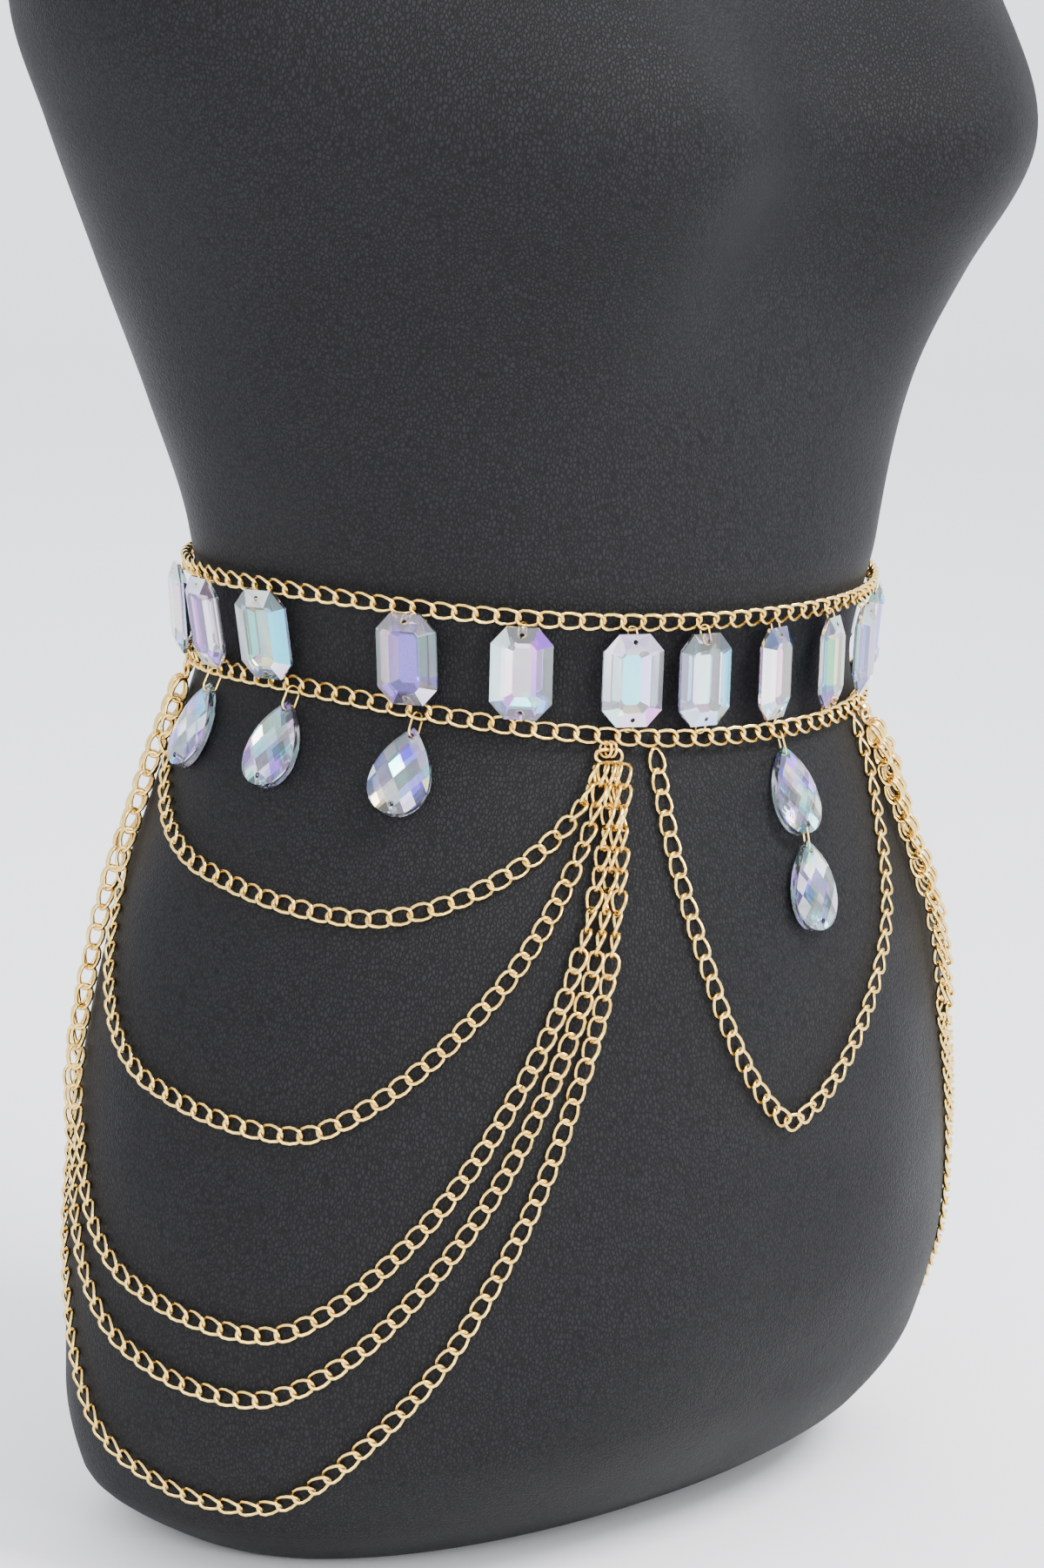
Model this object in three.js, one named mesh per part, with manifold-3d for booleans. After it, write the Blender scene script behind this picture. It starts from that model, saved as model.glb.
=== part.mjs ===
// A chain belt of curb chain, clear octagon stones and pear drops, worn on a limbless dress form.
// Millimetres, +Z up. The front faces -Y, and the origin is the middle of the form's flat underside.
import * as THREE from "three";
import { mergeVertices } from "three/addons/utils/BufferGeometryUtils.js";
import Module from "manifold-3d";

const wasm = await Module();
wasm.setup();

const DEG = Math.PI / 180;
const SEAM = 0.3; // air between pieces that touch on the real belt

// The dress form's sections are superellipses. half is half the width, front and back are the depths.
const ROUNDNESS = 2.2;
const FORM = [
  { z: 0, half: 124, front: 64, back: 92 },
  { z: 21, half: 153, front: 94, back: 98 },
  { z: 50, half: 161, front: 117, back: 98 },
  { z: 92, half: 160, front: 132, back: 100 },
  { z: 143, half: 154, front: 136, back: 101 },
  { z: 193, half: 143, front: 133, back: 96 },
  { z: 243, half: 122, front: 120, back: 90 },
  { z: 281, half: 105.5, front: 109, back: 86 },
  { z: 320, half: 115, front: 114.5, back: 81 },
  { z: 361, half: 131, front: 113, back: 89 },
  { z: 404, half: 149.5, front: 111, back: 101 },
  { z: 446, half: 169, front: 122.5, back: 108 },
  { z: 480, half: 181, front: 112.5, back: 117.5 },
  { z: 530, half: 187, front: 97, back: 120.5 },
  { z: 590, half: 186, front: 84, back: 106 },
  { z: 630, half: 170, front: 72, back: 88 },
  { z: 655, half: 128, front: 62, back: 73 },
  { z: 680, half: 74, front: 54, back: 61 },
  { z: 705, half: 55, front: 51, back: 55 },
  { z: 740, half: 51, front: 50, back: 53 },
];
const FORM_TOP = 740;
const FORM_SIDES = 36;
const FORM_STEP = 23; // height of a band of faces, and nearer the belt
const FORM_STEP_AT_BELT = 10;
const BELT_ZONE = [225, 315];
const BUST = { x: 84, z: 446, lift: 33, spread: 42, fullness: 1.4 };
const EDGES = [
  { z: 0, inset: 7 },
  { z: 2.5, inset: 2.3 },
  { z: 8, inset: 0 },
  { z: FORM_TOP - 8, inset: 0 },
  { z: FORM_TOP - 2.5, inset: 2.3 },
  { z: FORM_TOP, inset: 7 },
];

// Curb chain: lift is the height of its middle above the form.
const CHAIN = { pitch: 6.45, width: 6.3, rail: 1.15, hole: 4.2, thick: 1.8, lift: 2.8 };
// The belt's upper row dips at the front, and the lower row hangs further below it there.
const ROW = { side: 309.3, dip: 6.5, dipShape: 1.6, apart: 31.3, apartFront: 6.4, apartShape: 1.4 };

// Distances round the belt from the front middle, the same on each side.
const STONES_AT = [0, 28.5, 53, 86, 120, 171, 200, 229, 270];
const HIP_DROPS_AT = [117, 162, 200];
const FRONT_DROP_AT = -3;
// Stones are cut between two tables, whose size is a share of the outline. clear is the air behind them.
const STONE = {
  width: 19, length: 28.5, cornerX: 4.6, cornerY: 5.2, thick: 5.5, girdle: 1.2, table: 0.5, clear: 0.85,
};
// A drop's hole lies holeAt from its tip, and bar is the middle of the bridge between the two.
const DROP = {
  width: 19, length: 28, thick: 5.6, girdle: 1.2, table: 0.42, clear: 0.45,
  points: 14, taper: 0.8, widest: 0.79, middle: 0.58, holeAt: 2.9, hole: 1.1, bar: 0.9,
};
// A drop's ring is a stadium of wire round the chain's lower rail and through the drop's hole. hang is the
// distance between the middles of its two bends.
const DROP_RING = { wire: 0.7, inside: 1.7, hang: 3.875 };
const GATHER_RING = { wire: 1.2, bend: 2, straight: 4.4, clear: 0.5 };
const CLASP = { length: 14, width: 7.4, thick: 2.2, holeLength: 8.6, holeWidth: 3.8, sides: 8 };

// The swags hang in superellipses between a gather near the front and one at the back of the hip. low and
// z are the angle and height of a swag's lowest point, and shapes are the roundness of its two halves.
const SWAG = { width: 6.3, thick: 1.5, clear: 0.5, step: 12.9, beside: 2.1, crowd: 6 };
const GATHERS = { front: -119.5, back: -212, frontStep: 1.13, backStep: 1.33 };
const SWAGS = [
  { name: "1", low: -154, z: 213.5, shapes: [1.6, 1.87], place: 2 },
  { name: "2", low: -158, z: 148.5, shapes: [1.42, 2.26], place: 1 },
  { name: "3", low: -159.5, z: 86.5, shapes: [1.58, 2.39], place: 0 },
  { name: "4", low: -160.5, z: 65.5, shapes: [1.68, 2.38], place: -1 },
  { name: "5", low: -157.5, z: 29, shapes: [1.71, 2.64], place: -2 },
];
const FRONT_SWAG = { low: -92.5, z: 146.5, shapes: [1.45, 1.3], ends: [-111.2, -64.8] };

const GOLD = { color: 0xd9b36a, roughness: 0.28, metalness: 1 };
const CRYSTAL = { color: 0xe4ecf4, roughness: 0.06, metalness: 0.1 };
const BLACK = { color: 0x1b1b1d, roughness: 0.55, metalness: 0 };

const belt = new THREE.Group();

function addMesh(parent, name, geometry, look) {
  const mesh = new THREE.Mesh(geometry, new THREE.MeshStandardMaterial(look));
  mesh.name = name;
  parent.add(mesh);
  return mesh;
}

// Closed bodies

function bodyFrom(points, triangles) {
  const geometry = new THREE.BufferGeometry().setFromPoints(points);
  geometry.setIndex(triangles.flat());
  geometry.computeVertexNormals();
  return geometry;
}

// Rings of points, all of one length and counter-clockwise seen from the last ring, joined by bands.
// The ends get flat caps, or with round the last ring joins the first.
function skin(rings, round = false) {
  const n = rings[0].length;
  const triangles = [];
  const bands = round ? rings.length : rings.length - 1;
  for (let r = 0; r < bands; r++) {
    const low = r * n;
    const high = ((r + 1) % rings.length) * n;
    for (let i = 0; i < n; i++) {
      const j = (i + 1) % n;
      triangles.push([low + i, low + j, high + j], [low + i, high + j, high + i]);
    }
  }
  if (!round) {
    const last = (rings.length - 1) * n;
    for (let i = 1; i < n - 1; i++) {
      triangles.push([0, i + 1, i], [last, last + i, last + i + 1]);
    }
  }
  return bodyFrom(rings.flat(), triangles);
}

// Two matching sheets of points closed into a plate. The triangles face out on the upper sheet and are
// turned over on the lower one, and each edge that has no neighbour gets a wall.
function plate(upper, lower, triangles) {
  const n = upper.length;
  const edges = triangles.flatMap(([a, b, c]) => [[a, b], [b, c], [c, a]]);
  const known = new Set(edges.map(([a, b]) => a * n + b));
  const open = edges.filter(([a, b]) => !known.has(b * n + a));
  const under = triangles.map(([a, b, c]) => [c + n, b + n, a + n]);
  const walls = open.flatMap(([a, b]) => [[a, a + n, b + n], [a, b + n, b]]);
  return bodyFrom([...upper, ...lower], [...triangles, ...under, ...walls]);
}

function solidFrom(geometry) {
  const bare = geometry.index ? geometry.clone() : geometry;
  bare.deleteAttribute("normal");
  bare.deleteAttribute("uv");
  const merged = mergeVertices(bare, 1e-4);
  const triVerts = new Uint32Array(merged.index.array);
  return new wasm.Manifold(
    new wasm.Mesh({ numProp: 3, vertProperties: merged.attributes.position.array, triVerts }),
  );
}

function geometryFrom(solid) {
  const mesh = solid.getMesh();
  const geometry = new THREE.BufferGeometry();
  geometry.setAttribute("position", new THREE.BufferAttribute(mesh.vertProperties, 3));
  geometry.setIndex(new THREE.BufferAttribute(mesh.triVerts, 1));
  geometry.computeVertexNormals();
  return geometry;
}

// The form's surface

// A smooth curve through a column of the table that stays between its rows: cubic pieces whose slopes
// are the harmonic mean of the slopes on both sides.
function smoothColumn(key) {
  const slopeAfter = FORM.slice(1).map((row, i) => (row[key] - FORM[i][key]) / (row.z - FORM[i].z));
  const slopes = FORM.map((row, i) => {
    const a = slopeAfter[Math.max(i - 1, 0)];
    const b = slopeAfter[Math.min(i, slopeAfter.length - 1)];
    return a * b <= 0 ? 0 : (2 * a * b) / (a + b);
  });
  return (z) => {
    const found = FORM.findIndex((row) => row.z > z);
    const i = found < 0 ? FORM.length - 2 : Math.max(found - 1, 0);
    const span = FORM[i + 1].z - FORM[i].z;
    const t = THREE.MathUtils.clamp((z - FORM[i].z) / span, 0, 1);
    const from = (1 + 2 * t) * (1 - t) ** 2 * FORM[i][key] + t * (1 - t) ** 2 * span * slopes[i];
    const to = t * t * (3 - 2 * t) * FORM[i + 1][key] - t * t * (1 - t) * span * slopes[i + 1];
    return from + to;
  };
}

const halfAt = smoothColumn("half");
const frontAt = smoothColumn("front");
const backAt = smoothColumn("back");

const rounded = (value) => Math.sign(value) * Math.abs(value) ** (2 / ROUNDNESS);

// The point of the form at an angle round it (0 is its left, -90 degrees its front) and a height.
function formPoint(angle, z, inset = 0) {
  const sine = Math.sin(angle);
  const x = (halfAt(z) - inset) * rounded(Math.cos(angle));
  const depth = sine < 0 ? frontAt(z) : backAt(z);
  const rise = (apexX) => {
    const fromApex = ((x - apexX) ** 2 + (z - BUST.z) ** 2) / (2 * BUST.spread ** 2);
    return Math.exp(-(fromApex ** BUST.fullness));
  };
  const bust = sine < 0 ? BUST.lift * (rise(BUST.x) + rise(-BUST.x)) * Math.abs(sine) : 0;
  return new THREE.Vector3(x, (depth - inset) * rounded(sine) - bust, z);
}

function formNormal(angle, z) {
  const turn = 0.6 * DEG;
  const rise = 1;
  const along = formPoint(angle + turn, z).sub(formPoint(angle - turn, z));
  const up = formPoint(angle, z + rise).sub(formPoint(angle, z - rise));
  return along.cross(up).normalize();
}

const lifted = (angle, z, lift) => formPoint(angle, z).addScaledVector(formNormal(angle, z), lift);

// The belt's rows as heights, and angles for distances round it

const frontness = (angle) => Math.max(0, -Math.sin(angle));
const upperRow = (angle) => ROW.side - ROW.dip * frontness(angle) ** ROW.dipShape;
const lowerRow = (angle) =>
  upperRow(angle) - ROW.apart - ROW.apartFront * frontness(angle) ** ROW.apartShape;
const middleRow = (angle) => (upperRow(angle) + lowerRow(angle)) / 2;

// The height at a distance below the lower row, measured down the form.
function below(angle, distance) {
  const z = lowerRow(angle);
  const slant = Math.hypot(formNormal(angle, z).x, formNormal(angle, z).y);
  return z - distance * slant;
}

// A line laid on the form: where(k) gives its angle and height for k from 0 to 1, liftAt(k) its height off
// the form and rollAt(k) how far it is turned on edge. frameAt(s) is its frame at a distance s along it.
function layLine(where, liftAt, rollAt = () => 0) {
  const samples = 360;
  const points = [];
  for (let i = 0; i <= samples; i++) {
    const { angle, z } = where(i / samples);
    points.push(lifted(angle, z, liftAt(i / samples)));
  }
  const lengths = [0];
  for (let i = 1; i <= samples; i++) lengths.push(lengths[i - 1] + points[i].distanceTo(points[i - 1]));
  const total = lengths[samples];
  function frameAt(s) {
    const held = THREE.MathUtils.clamp(s, 0, total);
    const i = Math.min(Math.max(lengths.findIndex((length) => length > held) - 1, 0), samples - 1);
    const at = held >= total ? samples - 1 : i;
    const part = (held - lengths[at]) / (lengths[at + 1] - lengths[at]);
    const k = (at + part) / samples;
    const { angle, z } = where(k);
    const along = points[at + 1].clone().sub(points[at]).normalize();
    const side = formNormal(angle, z).cross(along).normalize();
    const out = along.clone().cross(side);
    const roll = rollAt(k);
    return {
      middle: points[at].clone().lerp(points[at + 1], part),
      side: side.clone().multiplyScalar(Math.cos(roll)).addScaledVector(out, Math.sin(roll)),
      out: out.clone().multiplyScalar(Math.cos(roll)).addScaledVector(side, -Math.sin(roll)),
      along,
      angle,
    };
  }
  return { total, frameAt, points };
}

const offset = (frame, aside, outwards) =>
  frame.middle.clone().addScaledVector(frame.side, aside).addScaledVector(frame.out, outwards);

// The belt's middle line from the front to the back on one side, for distances round the belt.
const halfRound = layLine(
  (k) => ({ angle: (-90 - 180 * k) * DEG, z: middleRow((-90 - 180 * k) * DEG) }),
  () => CHAIN.lift,
);
function angleAt(distance) {
  const angle = halfRound.frameAt(Math.abs(distance)).angle;
  return distance < 0 ? -Math.PI - angle : angle;
}

// Chains with their links' holes cut through

// One strip of links along a line from distance start to end, with a hole in each link.
function linkStrip(line, start, end) {
  const count = Math.round((end - start) / CHAIN.pitch);
  const pitch = (end - start) / count;
  const outer = CHAIN.width / 2;
  const inner = outer - CHAIN.rail;
  const margin = (pitch - CHAIN.hole) / 2;
  const spots = [];
  for (let i = 0; i <= count; i++) {
    const s = start + i * pitch;
    spots.push([s, -outer], [s, outer]);
    if (i < count) {
      const holeEnd = s + pitch - margin;
      spots.push([s + margin, -inner], [holeEnd, -inner], [holeEnd, inner], [s + margin, inner]);
    }
  }
  const triangles = [];
  for (let i = 0; i < count; i++) {
    const [nearLow, nearHigh, a, b, c, d, farLow, farHigh] = [0, 1, 2, 3, 4, 5, 6, 7].map((n) => n + 6 * i);
    triangles.push([nearLow, farLow, b], [nearLow, b, a], [d, c, farHigh], [d, farHigh, nearHigh]);
    triangles.push([nearLow, a, d], [nearLow, d, nearHigh], [b, farLow, farHigh], [b, farHigh, c]);
  }
  const sheet = (height) => spots.map(([s, aside]) => offset(line.frameAt(s), aside, height));
  const geometry = plate(sheet(CHAIN.thick / 2), sheet(-CHAIN.thick / 2), triangles);
  return { geometry, line, start, pitch, count };
}

function addWaistChain(name, row) {
  const line = layLine(
    (k) => ({ angle: (90 - 360 * k) * DEG, z: row((90 - 360 * k) * DEG) }),
    () => CHAIN.lift,
  );
  const claspHalf = CLASP.length / 2 + SEAM;
  const chain = linkStrip(line, claspHalf, line.total - claspHalf);
  addMesh(belt, name, chain.geometry, GOLD);
  return chain;
}

// Places a group or mesh with its X across the form, its Z out of it and its Y up, towards a point.
function place(object, origin, across, above) {
  const up = above.clone().sub(origin);
  up.addScaledVector(across, -up.dot(across)).normalize();
  const out = across.clone().cross(up);
  object.position.copy(origin);
  object.quaternion.setFromRotationMatrix(new THREE.Matrix4().makeBasis(across, up, out));
}

// The level direction round the form at an angle and height, counter-clockwise seen from above.
function acrossAt(angle, z) {
  const normal = formNormal(angle, z);
  return new THREE.Vector3(-normal.y, normal.x, 0).normalize();
}

function addClasp(name, row) {
  const shape = new THREE.Shape();
  shape.absellipse(0, 0, CLASP.length / 2, CLASP.width / 2, 0, 2 * Math.PI);
  const hole = new THREE.Path();
  hole.absellipse(0, 0, CLASP.holeLength / 2, CLASP.holeWidth / 2, 0, 2 * Math.PI);
  shape.holes.push(hole);
  const geometry = new THREE.ExtrudeGeometry(shape, {
    depth: CLASP.thick,
    bevelEnabled: false,
    curveSegments: CLASP.sides,
  }).translate(0, 0, -CLASP.thick / 2);
  const angle = 90 * DEG;
  const z = row(angle);
  const clasp = addMesh(belt, name, geometry, GOLD);
  place(clasp, lifted(angle, z, CHAIN.lift), acrossAt(angle, z), lifted(angle, z + 5, CHAIN.lift));
}

// Stones and drops

// A cut stone between two flat tables: outline(share) gives its outline at a share of its full size.
function cutStone(outline, size) {
  const ring = (share, z) => outline(share).map(([x, y]) => new THREE.Vector3(x, y, z));
  return skin([
    ring(size.table, -size.thick / 2),
    ring(1, -size.girdle / 2),
    ring(1, size.girdle / 2),
    ring(size.table, size.thick / 2),
  ]);
}

function octagon(share) {
  const x = (STONE.width / 2) * share;
  const y = STONE.length / 2 - (STONE.width / 2) * (1 - share);
  const inX = x - STONE.cornerX * share;
  const inY = y - STONE.cornerY * share;
  return [[x, -inY], [x, inY], [inX, y], [-inX, y], [-x, inY], [-x, -inY], [-inX, -y], [inX, -y]];
}

// A pear outline with its tip at the origin, hanging down: its width goes as
// sin(t) sin(t/2)^taper, and its height as cos(t).
function pear(share) {
  const centre = -DROP.length * DROP.middle;
  const points = [];
  for (let i = 0; i < DROP.points; i++) {
    const turn = (-2 * Math.PI * i) / DROP.points;
    const x = Math.sin(turn) * Math.abs(Math.sin(turn / 2)) ** DROP.taper;
    const y = (DROP.length / 2) * (Math.cos(turn) - 1);
    points.push([(DROP.width / 2 / DROP.widest) * x * share, centre + (y - centre) * share]);
  }
  return points;
}

function drill(geometry, y) {
  const bit = new THREE.CylinderGeometry(DROP.hole, DROP.hole, DROP.thick * 2, 8);
  bit.rotateX(Math.PI / 2).translate(0, y, 0);
  return geometryFrom(solidFrom(geometry).subtract(solidFrom(bit)));
}

// A stadium of square wire in the XY plane: its upper bend is centred on the origin, and the lower one on
// y = -straight.
function wireRing(bend, straight, wire) {
  const steps = 5;
  const rings = [];
  for (const [first, y] of [[0, 0], [180, -straight]]) {
    for (let i = 0; i <= steps; i++) {
      const turn = (first + (180 * i) / steps) * DEG;
      const at = (reach, z) => new THREE.Vector3(reach * Math.cos(turn), y + reach * Math.sin(turn), z);
      const [near, far] = [bend - wire / 2, bend + wire / 2];
      rings.push([at(near, -wire / 2), at(near, wire / 2), at(far, wire / 2), at(far, -wire / 2)]);
    }
  }
  return skin(rings, true);
}

function addStone(name, distance) {
  const angle = angleAt(distance);
  const [top, foot] = [upperRow(angle), lowerRow(angle)];
  const flush = STONE.thick / 2 + STONE.clear;
  const room = lifted(angle, top, flush).distanceTo(lifted(angle, foot, flush)) / 2 - CHAIN.width / 2;
  const overlap = STONE.length / 2 - room;
  const slope = (STONE.thick - STONE.girdle) / STONE.width / (1 - STONE.table);
  const overChain = CHAIN.lift + CHAIN.thick / 2 + SEAM + STONE.girdle / 2 + overlap * slope;
  const lift = overlap > -SEAM ? overChain : flush;
  const above = lifted(angle, top, lift);
  const middle = lifted(angle, foot, lift).lerp(above, 0.5);
  const stone = addMesh(belt, name, cutStone(octagon, STONE), CRYSTAL);
  place(stone, middle, acrossAt(angle, middleRow(angle)), above);
}

// A pear drop on its ring, in a group that turns about its X axis at the bar that the ring hangs from.
// bar is the point on that axis, and distance is how far it lies below the lower row.
function addDrop(name, bar, across, angle, distance, lowerHole) {
  const hinge = new THREE.Group();
  hinge.name = name + "_hinge";
  belt.add(hinge);
  const tip = DROP_RING.hang - DROP.bar;
  const middle = lifted(angle, below(angle, distance + tip + DROP.length / 2), DROP.thick / 2 + DROP.clear);
  place(hinge, bar, across, bar.clone().multiplyScalar(2).sub(middle));
  const ring = wireRing(DROP_RING.inside + DROP_RING.wire / 2, DROP_RING.hang, DROP_RING.wire);
  addMesh(hinge, name + "_ring", ring.rotateY(Math.PI / 2), GOLD);
  let stone = drill(cutStone(pear, DROP), -DROP.holeAt);
  if (lowerHole) stone = drill(stone, DROP.holeAt - DROP.length);
  addMesh(hinge, name, stone, CRYSTAL).position.y = -tip;
  hinge.updateMatrixWorld(true);
  return hinge;
}

// The middle of the lower rail at the link hole nearest to a distance round the belt.
function railAt(chain, distance) {
  const wanted = lifted(angleAt(distance), lowerRow(angleAt(distance)), CHAIN.lift);
  const holes = Array.from({ length: chain.count }, (_, i) => chain.start + (i + 0.5) * chain.pitch);
  const gap = (s) => chain.line.frameAt(s).middle.distanceTo(wanted);
  const nearest = holes.reduce((best, s) => (gap(s) < gap(best) ? s : best));
  const frame = chain.line.frameAt(nearest);
  const rail = (CHAIN.width - CHAIN.rail) / 2;
  return { bar: offset(frame, rail, 0), across: frame.along.clone().negate(), angle: frame.angle, rail };
}

// Swags and their gathers

const superellipse = (t, shape) => [
  Math.sign(Math.cos(t)) * Math.abs(Math.cos(t)) ** (2 / shape),
  Math.sin(t) ** (2 / shape),
];
const RING_DROP = CHAIN.width / 2 + GATHER_RING.clear + GATHER_RING.bend * 2 + GATHER_RING.wire + SEAM;

// A swag's angle and height for k from 0 at its first end to 1 at its second. Its ends hang a drop below
// the lower row.
function hangingRoute({ low, z, shapes, ends }, drop) {
  return (k) => {
    const half = k < 0.5 ? 0 : 1;
    const [across, down] = superellipse(Math.PI * k, shapes[half]);
    const end = ends[half] * DEG;
    const top = below(end, drop);
    return { angle: low * DEG + Math.abs(across) * (end - low * DEG), z: top - (top - z) * down };
  };
}

function swagRoute(row) {
  const front = GATHERS.front - row.place * GATHERS.frontStep;
  const back = GATHERS.back + row.place * GATHERS.backStep;
  return hangingRoute({ ...row, ends: [front, back] }, RING_DROP);
}

// How far a swag is turned on edge at each of its samples: flat where it hangs free, and upright where
// the swags beside it leave it no more room than its thickness.
function swagRolls(index) {
  const samples = 180;
  const pointsOf = (row) => {
    const route = swagRoute(row);
    return Array.from({ length: samples + 1 }, (_, i) => formPoint(route(i / samples).angle, route(i / samples).z));
  };
  const beside = [SWAGS[index - 1], SWAGS[index + 1]].filter(Boolean).flatMap(pointsOf);
  return pointsOf(SWAGS[index]).map((point) => {
    const room = Math.sqrt(Math.min(...beside.map((other) => other.distanceToSquared(point))));
    const flat = THREE.MathUtils.clamp((room - SWAG.beside) / SWAG.crowd, 0, 1);
    return Math.acos(flat);
  });
}

function swagStrip(line) {
  const bands = Math.round(line.total / SWAG.step);
  const frames = Array.from({ length: bands + 1 }, (_, i) => line.frameAt((line.total * i) / bands));
  const sheet = (height) =>
    frames.flatMap((frame) => [offset(frame, -SWAG.width / 2, height), offset(frame, SWAG.width / 2, height)]);
  const triangles = frames.slice(1).flatMap((_, i) => [
    [2 * i, 2 * i + 2, 2 * i + 3],
    [2 * i, 2 * i + 3, 2 * i + 1],
  ]);
  return plate(sheet(SWAG.thick / 2), sheet(-SWAG.thick / 2), triangles);
}

function mirrored(geometry) {
  const turned = geometry.clone().scale(-1, 1, 1);
  const index = Array.from(geometry.index.array);
  for (let i = 0; i < index.length; i += 3) [index[i + 1], index[i + 2]] = [index[i + 2], index[i + 1]];
  turned.setIndex(index);
  return turned;
}

function addSwagPair(index) {
  const row = SWAGS[index];
  const rolls = swagRolls(index);
  const rollAt = (k) => {
    const place = Math.min(k * (rolls.length - 1), rolls.length - 1.001);
    return THREE.MathUtils.lerp(rolls[Math.floor(place)], rolls[Math.floor(place) + 1], place % 1);
  };
  const liftAt = (k) =>
    SWAG.clear + (SWAG.width * Math.sin(rollAt(k)) + SWAG.thick * Math.cos(rollAt(k))) / 2;
  const right = swagStrip(layLine(swagRoute(row), liftAt, rollAt));
  addMesh(belt, "swag_right_" + row.name, right, GOLD);
  addMesh(belt, "swag_left_" + row.name, mirrored(right), GOLD);
}

function addFrontSwag() {
  const route = hangingRoute(FRONT_SWAG, CHAIN.width / 2 + SEAM);
  const line = layLine(route, () => SWAG.clear + CHAIN.thick / 2);
  addMesh(belt, "swag_front", linkStrip(line, 0, line.total).geometry, GOLD);
}

function addGatherRing(name, angle) {
  const { wire, bend, straight, clear } = GATHER_RING;
  const ring = wireRing(bend, straight, wire).translate(0, straight / 2, 0).rotateZ(Math.PI / 2);
  const middle = CHAIN.width / 2 + clear + bend + wire / 2;
  const origin = lifted(angle, below(angle, middle), CHAIN.lift);
  place(addMesh(belt, name, ring, GOLD), origin, acrossAt(angle, origin.z), lifted(angle, origin.z + 5, CHAIN.lift));
}

// The dress form, whole from its flat underside to a flat top on the neck

function addForm() {
  const heights = EDGES.map((edge) => edge.z);
  let z = EDGES[2].z + FORM_STEP;
  while (z < EDGES[3].z - FORM_STEP / 2) {
    heights.push(z);
    z += z > BELT_ZONE[0] && z < BELT_ZONE[1] ? FORM_STEP_AT_BELT : FORM_STEP;
  }
  heights.sort((a, b) => a - b);
  const rings = heights.map((height) => {
    const edge = EDGES.find((row) => row.z === height);
    return Array.from({ length: FORM_SIDES }, (_, i) =>
      formPoint((2 * Math.PI * i) / FORM_SIDES, height, edge ? edge.inset : 0),
    );
  });
  addMesh(belt, "dress_form", skin(rings), BLACK);
}

addForm();
addWaistChain("chain_upper", upperRow);
const lowerChain = addWaistChain("chain_lower", lowerRow);
addClasp("clasp_upper", upperRow);
addClasp("clasp_lower", lowerRow);

STONES_AT.forEach((distance, i) => {
  addStone(i ? "stone_right_" + i : "stone_front", distance);
  if (i) addStone("stone_left_" + i, -distance);
});

HIP_DROPS_AT.forEach((distance, i) => {
  for (const [side, sign] of [["right", 1], ["left", -1]]) {
    const { bar, across, angle, rail } = railAt(lowerChain, sign * distance);
    addDrop("drop_" + side + "_" + (i + 1), bar, across, angle, rail, false);
  }
});

const front = railAt(lowerChain, FRONT_DROP_AT);
const upperDrop = addDrop("drop_front_upper", front.bar, front.across, front.angle, front.rail, true);
const pairPitch = DROP_RING.hang - DROP.bar + DROP.length - DROP.bar;
const lowerBar = upperDrop.localToWorld(new THREE.Vector3(0, -pairPitch, 0));
const lowerDrop = addDrop(
  "drop_front_lower", lowerBar, front.across, front.angle, front.rail + pairPitch, false,
);
upperDrop.attach(lowerDrop);

SWAGS.forEach((_, index) => addSwagPair(index));
addFrontSwag();
for (const [place, degrees] of [["front", GATHERS.front], ["back", GATHERS.back]]) {
  addGatherRing("gather_ring_right_" + place, degrees * DEG);
  addGatherRing("gather_ring_left_" + place, -Math.PI - degrees * DEG);
}

export default belt;
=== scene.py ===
"""Chain belt of curb chain, cut stones and pear drops on a dress form, with every finished piece as a
numpy surface."""

import bmesh
import bpy
import numpy as np
from bpy.props import FloatProperty, FloatVectorProperty, IntProperty, PointerProperty
from mathutils import Matrix


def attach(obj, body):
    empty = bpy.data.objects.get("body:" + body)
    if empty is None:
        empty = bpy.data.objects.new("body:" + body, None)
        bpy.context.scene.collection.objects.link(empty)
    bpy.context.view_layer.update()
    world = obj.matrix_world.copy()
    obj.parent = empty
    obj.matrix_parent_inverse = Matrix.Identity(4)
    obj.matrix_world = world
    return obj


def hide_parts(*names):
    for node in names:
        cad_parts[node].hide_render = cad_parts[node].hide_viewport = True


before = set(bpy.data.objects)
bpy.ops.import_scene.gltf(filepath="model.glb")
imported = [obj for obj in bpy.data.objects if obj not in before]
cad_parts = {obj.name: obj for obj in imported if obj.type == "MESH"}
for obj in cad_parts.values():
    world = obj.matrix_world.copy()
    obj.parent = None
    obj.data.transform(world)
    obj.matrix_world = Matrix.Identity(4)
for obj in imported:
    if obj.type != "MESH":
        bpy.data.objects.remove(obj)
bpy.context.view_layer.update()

bl_info = {
    "name": "Chain belt on a dress form",
    "version": (1, 0, 0),
    "blender": (4, 5, 0),
    "location": "View3D > Sidebar > Belt",
    "description": "Builds the links, stones, drops and form of a waist chain belt",
    "category": "Add Mesh",
}

MM = 0.001
RIGHT, LEFT = "right", "left"

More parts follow.
